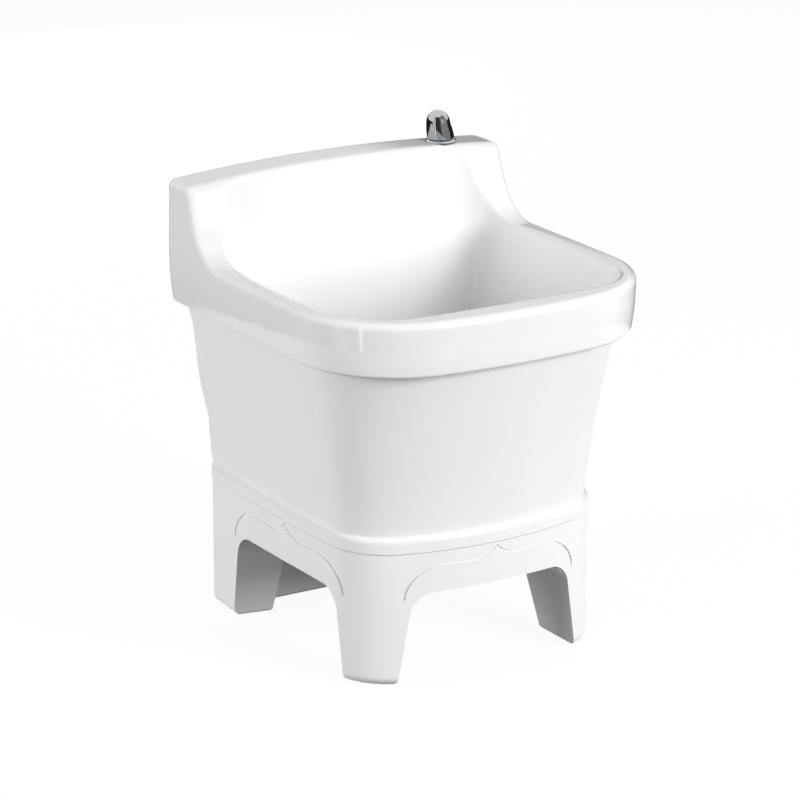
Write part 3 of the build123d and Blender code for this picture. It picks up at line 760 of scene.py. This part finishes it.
@dataclass(frozen=True)
class LiftKnobSet:
    """Chrome knob on the ledge that lifts the waste rod, and the flange that it stands on.

    Sizes are millimetres.
    """

    flange_radius: float = 20.0
    flange_lip: float = 1.2
    waist_radius: float = 18.4
    flange_thickness: float = 4.0
    bore_radius: float = 6.1
    head_radius: float = 7.7  # recess for the head of the guide bush
    head_depth: float = 1.5
    knob_radius: float = 18.0
    knob_height: float = 37.0
    foot_round: float = 0.8
    dome_levels: int = 9
    dome_close: float = 0.97  # share of a quarter turn that the crown closes over
    # Share of the height, half width, half depth and sideways shift of each level of the knob.
    levels: tuple[tuple[float, float, float, float], ...] = (
        (0.0, 1.0, 0.94, 0.0),
        (0.12, 0.99, 0.93, -0.8),
        (0.24, 0.975, 0.915, -1.7),
        (0.35, 0.95, 0.89, -2.5),
        (0.46, 0.915, 0.86, -3.3),
        (0.56, 0.875, 0.83, -4.0),
    )

    def build(self) -> None:
        """Build the flange and the knob where the CAD nodes are."""
        self.flange()
        self.knob()

    def dome(self) -> list[tuple[float, float, float, float]]:
        """Levels of the crown, which closes like a soft dome.

        Returns:
            The same four values for each level as in the levels of the knob.
        """
        start, width, depth, shift = self.levels[-1]
        levels = []
        for number in range(1, self.dome_levels + 1):
            turn = number / self.dome_levels * math.pi / 2 * self.dome_close
            closing = math.cos(turn)
            rise = math.sin(turn)
            height = start + (1 - start) * rise
            levels.append((height, width * closing, depth * closing, shift - rise))
        return levels

    def flange(self) -> None:
        """Turned flange with a rolled lip, a shallow step and the seat of the guide bush."""
        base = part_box("knob_flange")[0].z / MM
        top = base + self.flange_thickness
        rim = self.flange_radius
        lip = base + self.flange_lip
        waist = self.waist_radius
        profile = (
            (self.bore_radius, base),
            # rolled lip
            (rim - 0.5, base),
            (rim, base + 0.4),
            (rim, lip),
            (rim - 0.3, lip + 0.4),
            # shallow step up to the top
            (waist + 0.4, lip + 0.7),
            (waist - 0.3, lip + 1.3),
            (waist - 1.4, top - 0.6),
            (waist - 2.9, top - 0.1),
            (waist - 4.0, top),
            # recess for the bush
            (self.head_radius, top),
            (self.head_radius, top - self.head_depth),
            (self.bore_radius, top - self.head_depth),
        )
        piece = Workpiece.turned("turned_knob_flange", profile, middle_of("knob_flange"))
        piece.smooth(angle=40)
        piece.finish(CHROME_PLATE, Slot.CHROME, Body.SINK, "knob_flange")

    def knob(self) -> None:
        """Cast knob, drawn up level by level from a round blank, with a soft crown."""
        axis = middle_of("knob_flange")
        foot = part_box("lift_knob")[0].z
        tall = self.knob_height * MM
        first, *upper = self.levels
        old_height, old_width, old_depth, old_shift = first
        blank = Vector((axis.x, axis.y, foot))
        piece = Workpiece.disc("cast_lift_knob", self.knob_radius * MM, blank, sides=64)
        piece.settle()
        bpy.ops.object.mode_set(mode="EDIT")
        bpy.ops.mesh.select_all(action="SELECT")
        bpy.ops.transform.resize(value=(old_width, old_depth, 1), center_override=blank)
        for height, width, depth, shift in [*upper, *self.dome()]:
            step = ((shift - old_shift) * MM, 0, (height - old_height) * tall)
            bpy.ops.mesh.extrude_region_move(TRANSFORM_OT_translate={"value": step})
            middle = (axis.x + shift * MM, axis.y, foot + height * tall)
            bpy.ops.transform.resize(
                value=(width / old_width, depth / old_depth, 1), center_override=middle
            )
            old_height, old_width, old_depth, old_shift = height, width, depth, shift
        piece.pick(Element.EDGES, lambda middle, way: middle.z < foot + WELD)
        bpy.ops.mesh.bevel(offset=self.foot_round * MM, segments=3, profile=0.5, affect="EDGES")
        bpy.ops.object.mode_set(mode="OBJECT")
        piece.smooth(angle=50)
        piece.finish(CHROME_PLATE, Slot.CHROME, Body.LIFT, "lift_knob")


def thread(
    radius: float, depth: float, pitch: float, start: float, end: float
) -> list[tuple[float, float]]:
    """Section of a screw thread as level ridges, fine enough to pass for a helix.

    The shares of the pitch are where a ridge's crest starts and ends and where the ridge ends.

    Args:
        radius: Radius over the thread.
        depth: Depth of its grooves.
        pitch: Distance between ridges.
        start: Height where it starts.
        end: Height where it ends.

    Returns:
        Radius and height of each corner, from the start up.
    """
    crest_start, crest_end, ridge_end = 0.4, 0.55, 0.95
    corners = []
    for turn in range(int((end - start) / pitch)):
        foot = start + turn * pitch
        corners += [
            (radius - depth, foot),
            (radius, foot + crest_start * pitch),
            (radius, foot + crest_end * pitch),
            (radius - depth, foot + ridge_end * pitch),
        ]
    return corners


@dataclass(frozen=True)
class RibbedNut:
    """Moulded union nut with raised grip ribs and an end wall, screwed over a spigot.

    Sizes are millimetres.
    """

    name: str
    node: str
    radius: float  # over the ribs
    length: float
    bore: float  # radius of the hole in the end wall
    thread_radius: float
    ribs: int
    end_wall: float = 3.0
    end_chamfer: float = 0.9
    mouth_chamfer: float = 0.5
    bore_chamfer: float = 0.4
    rib_depth: float = 1.1
    rib_ends: float = 1.8  # how far the ribs stop short of either end

    def mould(self) -> Workpiece:
        """Turn the nut upright at the origin, end wall down, and raise its ribs.

        Returns:
            The nut on the bench.
        """
        core = self.radius - self.rib_depth
        profile = (
            (self.bore, self.bore_chamfer),
            (self.bore + self.bore_chamfer, 0),
            (core - self.end_chamfer, 0),
            (core, self.end_chamfer),
            (core, self.rib_ends),
            (core, self.length - self.rib_ends),
            (core, self.length - self.mouth_chamfer),
            (core - self.mouth_chamfer, self.length),
            (self.thread_radius, self.length),
            (self.thread_radius, self.end_wall),
            (self.bore, self.end_wall),
        )
        piece = Workpiece.turned(self.name, profile, Vector(), steps=4 * self.ribs)
        middle = self.length / 2 * MM
        half = middle - self.rib_ends * MM
        span = FULL_TURN / self.ribs

        def on_rib(place: Vector, way: Vector) -> bool:
            """Tell the faces of the outer wall that a rib is raised from.

            Args:
                place: The face's middle.
                way: Its normal.

            Returns:
                Whether it is upright, outside, between the ribs' ends and in a rib's half span.
            """
            upright = abs(way.z) < 0.1
            outside = place.to_2d().length > (self.thread_radius + core) / 2 * MM
            between_ends = abs(place.z - middle) < half
            turn = math.atan2(place.y, place.x) % span
            return upright and outside and between_ends and turn < span / 2

        piece.pick(Element.FACES, on_rib)
        bpy.ops.mesh.extrude_region_shrink_fatten(
            TRANSFORM_OT_shrink_fatten={"value": self.rib_depth * MM}
        )
        bpy.ops.object.mode_set(mode="OBJECT")
        piece.smooth(angle=35)
        return piece


@dataclass(frozen=True)
class WasteSet:
    """Chrome waste in the bowl's floor, its stopper, and the nuts below it.

    Sizes are millimetres.
    """

    tube_radius: float = 21.0
    bore_radius: float = 18.0
    flange_radius: float = 34.0
    flange_thickness: float = 2.5
    mouth_depth: float = 2.6
    plain_tube: float = 5.0  # tube without a thread, under the flange
    thread_depth: float = 0.7
    thread_pitch: float = 2.1
    head_radius: float = 20.5
    head_height: float = 5.0
    stem_reach: float = 0.2  # how far the stem stands into the head
    nut_flats: float = 56.0
    nut_height: float = 9.0
    nut_collar: float = 2.0
    nut_collar_radius: float = 31.0
    running_gap: float = 0.05
    tail_nut: RibbedNut = RibbedNut(
        name="moulded_tailpiece_nut",
        node="tailpiece_nut",
        radius=23.5,
        length=19.0,
        bore=16.05,
        thread_radius=19.05,
        ribs=24,
    )

    def build(self) -> None:
        """Build the waste from the bowl down to the tailpiece."""
        self.flange()
        self.stopper()
        self.back_nut()
        self.tailpiece_nut()

    def flange(self) -> None:
        """Turned chrome flange with a rolled lip, on its threaded tube."""
        low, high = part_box("waste_flange")
        bottom, top = low.z / MM, high.z / MM
        under = top - self.flange_thickness
        plain = under - self.plain_tube
        rim = self.flange_radius
        bore = self.bore_radius
        ridges = thread(
            self.tube_radius, self.thread_depth, self.thread_pitch, bottom + 0.8, plain - 1
        )
        profile = (
            # threaded tube, from below
            (bore, bottom),
            (self.tube_radius - self.thread_depth, bottom),
            *ridges,
            (self.tube_radius, plain),
            (self.tube_radius, under),
            # rolled lip
            (rim - 0.3, under),
            (rim, under + 0.4),
            (rim - 0.1, under + 0.9),
            (rim - 0.7, under + 1.5),
            (rim - 2.2, under + 2.1),
            # dished top and rounded mouth
            (rim - 4.5, top),
            (rim - 8.0, top - 0.15),
            (bore + 2.6, top - 0.35),
            (bore + 1.2, top - 0.8),
            (bore + 0.3, top - 1.7),
            (bore, top - self.mouth_depth),
        )
        axis = middle_of("waste_flange")
        piece = Workpiece.turned("turned_waste_flange", profile, axis, steps=128)
        piece.smooth(angle=40)
        piece.finish(CHROME_PLATE, Slot.CHROME, Body.SINK, "waste_flange")

    def stopper(self) -> None:
        """Domed stopper head with a turned groove, on the cast stem and its vanes."""
        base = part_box("stopper")[1].z / MM - self.head_height
        rim = self.head_radius
        profile = (
            # underside and rounded rim
            (0, base),
            (rim - 3, base),
            (rim - 0.6, base + 0.4),
            (rim, base + 1.2),
            (rim - 0.1, base + 1.9),
            (rim - 0.8, base + 2.8),
            (rim - 2.4, base + 3.7),
            # turned groove
            (rim - 4.6, base + 4.3),
            (rim - 5.4, base + 4.1),
            (rim - 6.2, base + 4.4),
            # flat dome
            (rim / 2, base + 4.75),
            (rim / 5, base + 4.95),
            (0, base + self.head_height),
        )
        head = Workpiece.turned("turned_stopper_head", profile, middle_of("stopper"))
        head.smooth(angle=40)
        head.finish(CHROME_PLATE, Slot.CHROME, Body.STOPPER, "stopper")
        stem = Workpiece.copied("cast_stopper_stem", bpy.data.objects["stopper"])
        bpy.ops.object.mode_set(mode="EDIT")
        bpy.ops.mesh.select_all(action="SELECT")
        bpy.ops.mesh.bisect(
            plane_co=(0, 0, (base + self.stem_reach) * MM),
            plane_no=(0, 0, 1),
            use_fill=True,
            clear_outer=True,
        )
        bpy.ops.object.mode_set(mode="OBJECT")
        stem.smooth(angle=40)
        stem.finish(CHROME_PLATE, Slot.CHROME, Body.STOPPER, "stopper")

    def back_nut(self) -> None:
        """Hexagonal brass nut with its round collar, drawn up under the bowl."""
        axis = middle_of("back_nut")
        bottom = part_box("back_nut")[0].z
        bore = self.tube_radius + self.running_gap
        hexagon = self.nut_height - self.nut_collar
        nut = Workpiece.nut_blank(
            "sawn_back_nut",
            flats=self.nut_flats * MM,
            bore=bore * MM,
            height=hexagon * MM,
            base=Vector((axis.x, axis.y, bottom)),
        )
        nut.smooth(angle=35)
        nut.finish(TURNED_BRASS, Slot.BRASS, Body.SINK, "back_nut")
        foot = bottom / MM + hexagon
        top = foot + self.nut_collar
        rim = self.nut_collar_radius
        profile = (
            (bore, foot),
            (rim - 0.4, foot),
            (rim, foot + 0.4),
            (rim, top - 0.3),
            (rim - 0.3, top),
            (bore, top),
        )
        collar = Workpiece.turned("turned_nut_collar", profile, axis)
        collar.smooth(angle=35)
        collar.finish(TURNED_BRASS, Slot.BRASS, Body.SINK, "back_nut")

    def tailpiece_nut(self) -> None:
        """Ribbed plastic nut that holds the tailpiece to the tee."""
        middle = middle_of(self.tail_nut.node)
        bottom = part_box(self.tail_nut.node)[0].z
        piece = self.tail_nut.mould()
        piece.lay(Vector((middle.x, middle.y, bottom)), Vector((0, 0, 1)))
        piece.finish(WHITE_POLYPROPYLENE, Slot.PLASTIC, Body.SINK, self.tail_nut.node)


@dataclass(frozen=True)
class LinkageSet:
    """Turned and moulded pieces of the linkage that lifts the stopper.

    Sizes are millimetres.
    """

    pivot_nut: RibbedNut = RibbedNut(
        name="moulded_pivot_nut",
        node="pivot_nut",
        radius=15.0,
        length=13.0,
        bore=4.5,
        thread_radius=12.05,
        ribs=16,
        rib_ends=1.4,
    )
    bush_radius: float = 6.0
    bush_head_radius: float = 7.5
    bush_head: float = 1.4
    bush_bore: float = 2.55
    bush_plain: float = 7.0  # length without a thread at the upper end, with the head
    bush_thread_depth: float = 0.4
    bush_pitch: float = 1.25
    bush_chamfer: float = 0.5
    bush_countersink: float = 0.6
    guide_flats: float = 19.0
    guide_bore: float = 6.05

    def build(self) -> None:
        """Build the pivot's nut and the lift rod's guide."""
        self.pivot()
        self.guide()

    def pivot(self) -> None:
        """Ribbed cap that holds the lever's ball in the tee, laid along the lever."""
        waste = middle_of("waste_flange")
        middle = middle_of(self.pivot_nut.node)
        heading = Vector((middle.x - waste.x, middle.y - waste.y, 0)).normalized()
        piece = self.pivot_nut.mould()
        piece.lay(middle + heading * self.pivot_nut.length / 2 * MM, -heading)
        piece.finish(WHITE_POLYPROPYLENE, Slot.PLASTIC, Body.SINK, self.pivot_nut.node)

    def guide(self) -> None:
        """Threaded brass bush through the ledge and the nut that holds it from below."""
        low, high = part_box("guide_bush")
        bottom, top = low.z / MM, high.z / MM
        under = top - self.bush_head
        plain = top - self.bush_plain
        radius, head, bore = self.bush_radius, self.bush_head_radius, self.bush_bore
        ridges = thread(radius, self.bush_thread_depth, self.bush_pitch, bottom + 0.5, plain - 1)
        profile = (
            # threaded stem, from below
            (bore, bottom),
            (radius - self.bush_thread_depth, bottom),
            *ridges,
            (radius, plain),
            (radius, under),
            # head, chamfered and countersunk
            (head, under),
            (head, top - self.bush_chamfer),
            (head - self.bush_chamfer, top),
            (bore + self.bush_countersink, top),
            (bore, top - self.bush_countersink),
        )
        bush = Workpiece.turned("turned_guide_bush", profile, middle_of("guide_bush"), steps=48)
        bush.smooth(angle=35)
        bush.finish(TURNED_BRASS, Slot.BRASS, Body.SINK, "guide_bush")
        low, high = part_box("guide_nut")
        middle = middle_of("guide_nut")
        nut = Workpiece.nut_blank(
            "sawn_guide_nut",
            flats=self.guide_flats * MM,
            bore=self.guide_bore * MM,
            height=high.z - low.z,
            base=Vector((middle.x, middle.y, low.z)),
        )
        nut.smooth(angle=35)
        nut.finish(TURNED_BRASS, Slot.BRASS, Body.SINK, "guide_nut")


@dataclass(frozen=True)
class FootPadSet:
    """Four grey rubber pads let into the feet, ringed underneath for grip.

    Sizes are millimetres.
    """

    radius: float = 11.0
    height: float = 4.0
    ring_inside: float = 2.4  # radius of the grip ring underneath
    ring_outside: float = 5.3
    rim_inside: float = 6.4  # radius of the raised rim round it
    ring_depth: float = 0.5  # how far both stand out
    ring_slope: float = 0.5  # width of their slanting sides

    def build(self) -> None:
        """Turn one pad and set a copy of it in each foot."""
        low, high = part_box("foot_pads")
        inset = Vector((self.radius, self.radius, 0)) * MM
        near, far = low + inset, high - inset
        edge, depth, slope = self.radius, self.ring_depth, self.ring_slope
        profile = (
            (0, depth),
            # grip ring
            (self.ring_inside, depth),
            (self.ring_inside + slope, 0),
            (self.ring_outside - slope, 0),
            (self.ring_outside, depth),
            # rim and its rounded edge
            (self.rim_inside, depth),
            (self.rim_inside + slope, 0),
            (edge - 1.2, 0),
            (edge - 0.4, 0.3),
            (edge, 1.0),
            (edge, self.height),
            (0, self.height),
        )
        corner = Vector((near.x, near.y, 0))
        first = Workpiece.turned("foot_pad_front_left", profile, corner, steps=48)
        first.smooth(angle=35)
        across = Vector((far.x - near.x, 0, 0))
        back = Vector((0, far.y - near.y, 0))
        pads = (
            first,
            first.twin("foot_pad_front_right", across),
            first.twin("foot_pad_back_left", back),
            first.twin("foot_pad_back_right", across + back),
        )
        for pad in pads:
            pad.finish(GREY_RUBBER, Slot.GREY_RUBBER, Body.SINK, "foot_pads")


# ---------------------------------------------------------------- studio
@dataclass(frozen=True)
class SoftLamp:
    """Large area lamp aimed at the sink. Lengths are metres."""

    name: str
    place: tuple[float, float, float]
    watts: float
    width: float = 1.6
    height: float = 1.6
    aim: tuple[float, float, float] = (0.0, 0.0, 0.3)
    mirrored: bool = True  # whether glaze and chrome show the lamp

    def hang(self) -> None:
        """Add the lamp to the scene."""
        light = bpy.data.lights.new(self.name, "AREA")
        light.shape = "RECTANGLE"
        light.size = self.width
        light.size_y = self.height
        light.energy = self.watts
        lamp = bpy.data.objects.new(self.name, light)
        lamp.location = self.place
        way = Vector(self.aim) - Vector(self.place)
        lamp.rotation_euler = way.to_track_quat("-Z", "Y").to_euler()
        lamp.visible_glossy = self.mirrored
        bpy.context.scene.collection.objects.link(lamp)


@dataclass(frozen=True)
class ReflectionScreen:
    """Curved screen round the sink that only shows in reflections, as a studio's boards do.

    Its ends are bearings in degrees, 0 in front of the sink and growing to its right. Both are
    multiples of the step, which is the width of its flat strips. Lengths are metres.
    """

    name: str
    start: float
    end: float
    level: float  # 1 is plain white
    radius: float = 1.25
    height: float = 1.7
    step: float = 3.0
    slack: float = 0.001  # keeps the corners at its very ends, radians

    def stand(self) -> None:
        """Bend the screen from a circle, draw it up from the floor and stand it in the studio."""
        Workpiece.clear()
        sides = round(360 / self.step)
        bpy.ops.mesh.primitive_circle_add(vertices=sides, radius=self.radius, location=(0, 0, 0))
        piece = Workpiece(self.name, bpy.context.object)
        middle = math.radians((self.start + self.end) / 2)
        reach = math.radians((self.end - self.start) / 2) + self.slack
        towards = Vector((math.sin(middle), -math.cos(middle), 0))
        piece.pick(Element.VERTS, lambda place, way: place.normalized().angle(towards) > reach)
        bpy.ops.mesh.delete(type="VERT")
        bpy.ops.mesh.select_all(action="SELECT")
        bpy.ops.mesh.extrude_region_move(TRANSFORM_OT_translate={"value": (0, 0, self.height)})
        Workpiece.clear()
        made = bpy.data.materials.new(f"{self.name}_board")
        made.use_nodes = True
        tree = made.node_tree
        tree.nodes.remove(tree.nodes["Principled BSDF"])
        board = add_node(
            tree, "ShaderNodeEmission", {"Color": linear(WHITE), "Strength": self.level}
        )
        tree.links.new(board.outputs["Emission"], tree.nodes["Material Output"].inputs["Surface"])
        piece.obj.data.materials.append(made)
        piece.obj.visible_camera = False
        piece.obj.visible_diffuse = False
        piece.obj.visible_shadow = False
        piece.obj.visible_transmission = False


@dataclass(frozen=True)
class Studio:
    """Plain white floor, white surroundings, soft lamps and screens to reflect."""

    floor_radius: float = 30.0
    bounce_colour: str = "#404040"  # floor as its light reaches the sink
    floor_glow: float = 0.94  # share of plain white that the floor shows beside its shaded colour
    sky_strength: float = 0.36  # light of the surroundings on the sink
    lamps: tuple[SoftLamp, ...] = (
        SoftLamp("front_softbox", (1.45, -3.3, 1.5), 131.0),
        SoftLamp("left_softbox", (-3.4, 0.2, 0.95), 66.0, mirrored=False),
        SoftLamp("back_softbox", (0.6, 3.5, 0.7), 50.0, mirrored=False),
    )
    screens: tuple[ReflectionScreen, ...] = (
        ReflectionScreen("grey_screen", 0, 75, 0.3, height=2.6),
        ReflectionScreen("right_screen", 75, 177, 0.02, height=0.8),
        ReflectionScreen("left_screen", -183, -87, 0.02, height=0.8),
        ReflectionScreen("near_screen", -75, -63, 0.05, height=2.6),
        ReflectionScreen("strip_light", -63, -60, 4.0),
        ReflectionScreen("middle_screen", -60, 0, 0.05, height=2.6),
    )

    def build(self) -> None:
        """Set the view transform and add floor, surroundings, lamps and screens."""
        bpy.context.scene.view_settings.view_transform = "Standard"
        self.floor()
        self.surroundings()
        for lamp in self.lamps:
            lamp.hang()
        for screen in self.screens:
            screen.stand()

    @staticmethod
    def in_view(tree: NodeTree) -> NodeSocket:
        """Tell what is looked at from what only lights the sink.

        Args:
            tree: Node tree of a material or of the world.

        Returns:
            Value of 1 for the camera, for reflections and through glass, and 0 for other light.
        """
        path = add_node(tree, "ShaderNodeLightPath")
        seen = path.outputs["Is Camera Ray"]
        for ray in ("Is Glossy Ray", "Is Transmission Ray"):
            seen = add_node(
                tree, "ShaderNodeMath", {0: seen, 1: path.outputs[ray]}, operation="MAXIMUM"
            ).outputs["Value"]
        return seen

    def floor(self) -> None:
        """White floor that keeps the sink's soft shadow and is plain white elsewhere."""
        Workpiece.clear()
        bpy.ops.mesh.primitive_circle_add(
            vertices=96, radius=self.floor_radius, fill_type="NGON", location=(0, 0, 0)
        )
        floor = bpy.context.object
        floor.name = "studio_floor"
        made = bpy.data.materials.new("matt_white_floor")
        made.use_nodes = True
        tree = made.node_tree
        tree.nodes.remove(tree.nodes["Principled BSDF"])
        seen = self.in_view(tree)
        colour = add_node(
            tree,
            "ShaderNodeMix",
            {"Factor": seen, "A": linear(self.bounce_colour), "B": linear(WHITE)},
            data_type="RGBA",
        )
        shaded = add_node(
            tree, "ShaderNodeBsdfDiffuse", {"Color": colour.outputs["Result"], "Roughness": 0.5}
        )
        plain = add_node(tree, "ShaderNodeEmission", {"Color": linear(WHITE), "Strength": 1.0})
        share = add_node(
            tree, "ShaderNodeMath", {0: seen, 1: self.floor_glow}, operation="MULTIPLY"
        )
        mixed = add_node(
            tree,
            "ShaderNodeMixShader",
            {0: share.outputs["Value"], 1: shaded.outputs["BSDF"], 2: plain.outputs["Emission"]},
        )
        tree.links.new(mixed.outputs["Shader"], tree.nodes["Material Output"].inputs["Surface"])
        floor.data.materials.append(made)

    def surroundings(self) -> None:
        """White surroundings, plain white to the camera and in reflections."""
        world = bpy.data.worlds.new("white_studio")
        bpy.context.scene.world = world
        world.use_nodes = True
        tree = world.node_tree
        level = add_node(
            tree,
            "ShaderNodeMapRange",
            {"Value": self.in_view(tree), "To Min": self.sky_strength, "To Max": 1.0},
        )
        sky = tree.nodes["Background"]
        sky.inputs["Color"].default_value = linear(WHITE)
        tree.links.new(level.outputs["Result"], sky.inputs["Strength"])


@dataclass(frozen=True)
class PictureCamera:
    """Camera at the photograph's place, above the sink and to its left. Places are metres."""

    lens: float = 176.0  # mm
    place: tuple[float, float, float] = (-2.44499, -3.96143, 1.77623)
    aim: tuple[float, float, float] = (-0.00795, 0.0352, 0.2972)

    def stand(self) -> None:
        """Add the camera and make it the scene's camera."""
        data = bpy.data.cameras.new("picture_camera")
        data.lens = self.lens
        camera = bpy.data.objects.new("picture_camera", data)
        camera.location = self.place
        way = Vector(self.aim) - Vector(self.place)
        camera.rotation_euler = way.to_track_quat("-Z", "Y").to_euler()
        bpy.context.scene.collection.objects.link(camera)
        bpy.context.scene.camera = camera


def dress_nodes(nodes: dict[str, Object]) -> None:
    """Give every CAD node its finish.

    Args:
        nodes: The frame's CAD nodes by name.
    """
    for name, node in nodes.items():
        made = NODE_FINISHES[name].material()
        if not node.material_slots:
            node.data.materials.append(made)
        for place in node.material_slots:
            place.material = made
        log.info("%s: %s", name, made.name)


def main() -> None:
    """Load the frame, dress it, and set up the studio."""
    logging.basicConfig(level=logging.INFO, format="%(name)s %(message)s")
    bpy.ops.wm.read_factory_settings(use_empty=True)
    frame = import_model()
    PictureCamera().stand()
    Studio().build()
    dress_nodes(frame["nodes"])
    for fittings in (LiftKnobSet(), WasteSet(), LinkageSet(), FootPadSet()):
        fittings.build()


if __name__ == "__main__":
    main()
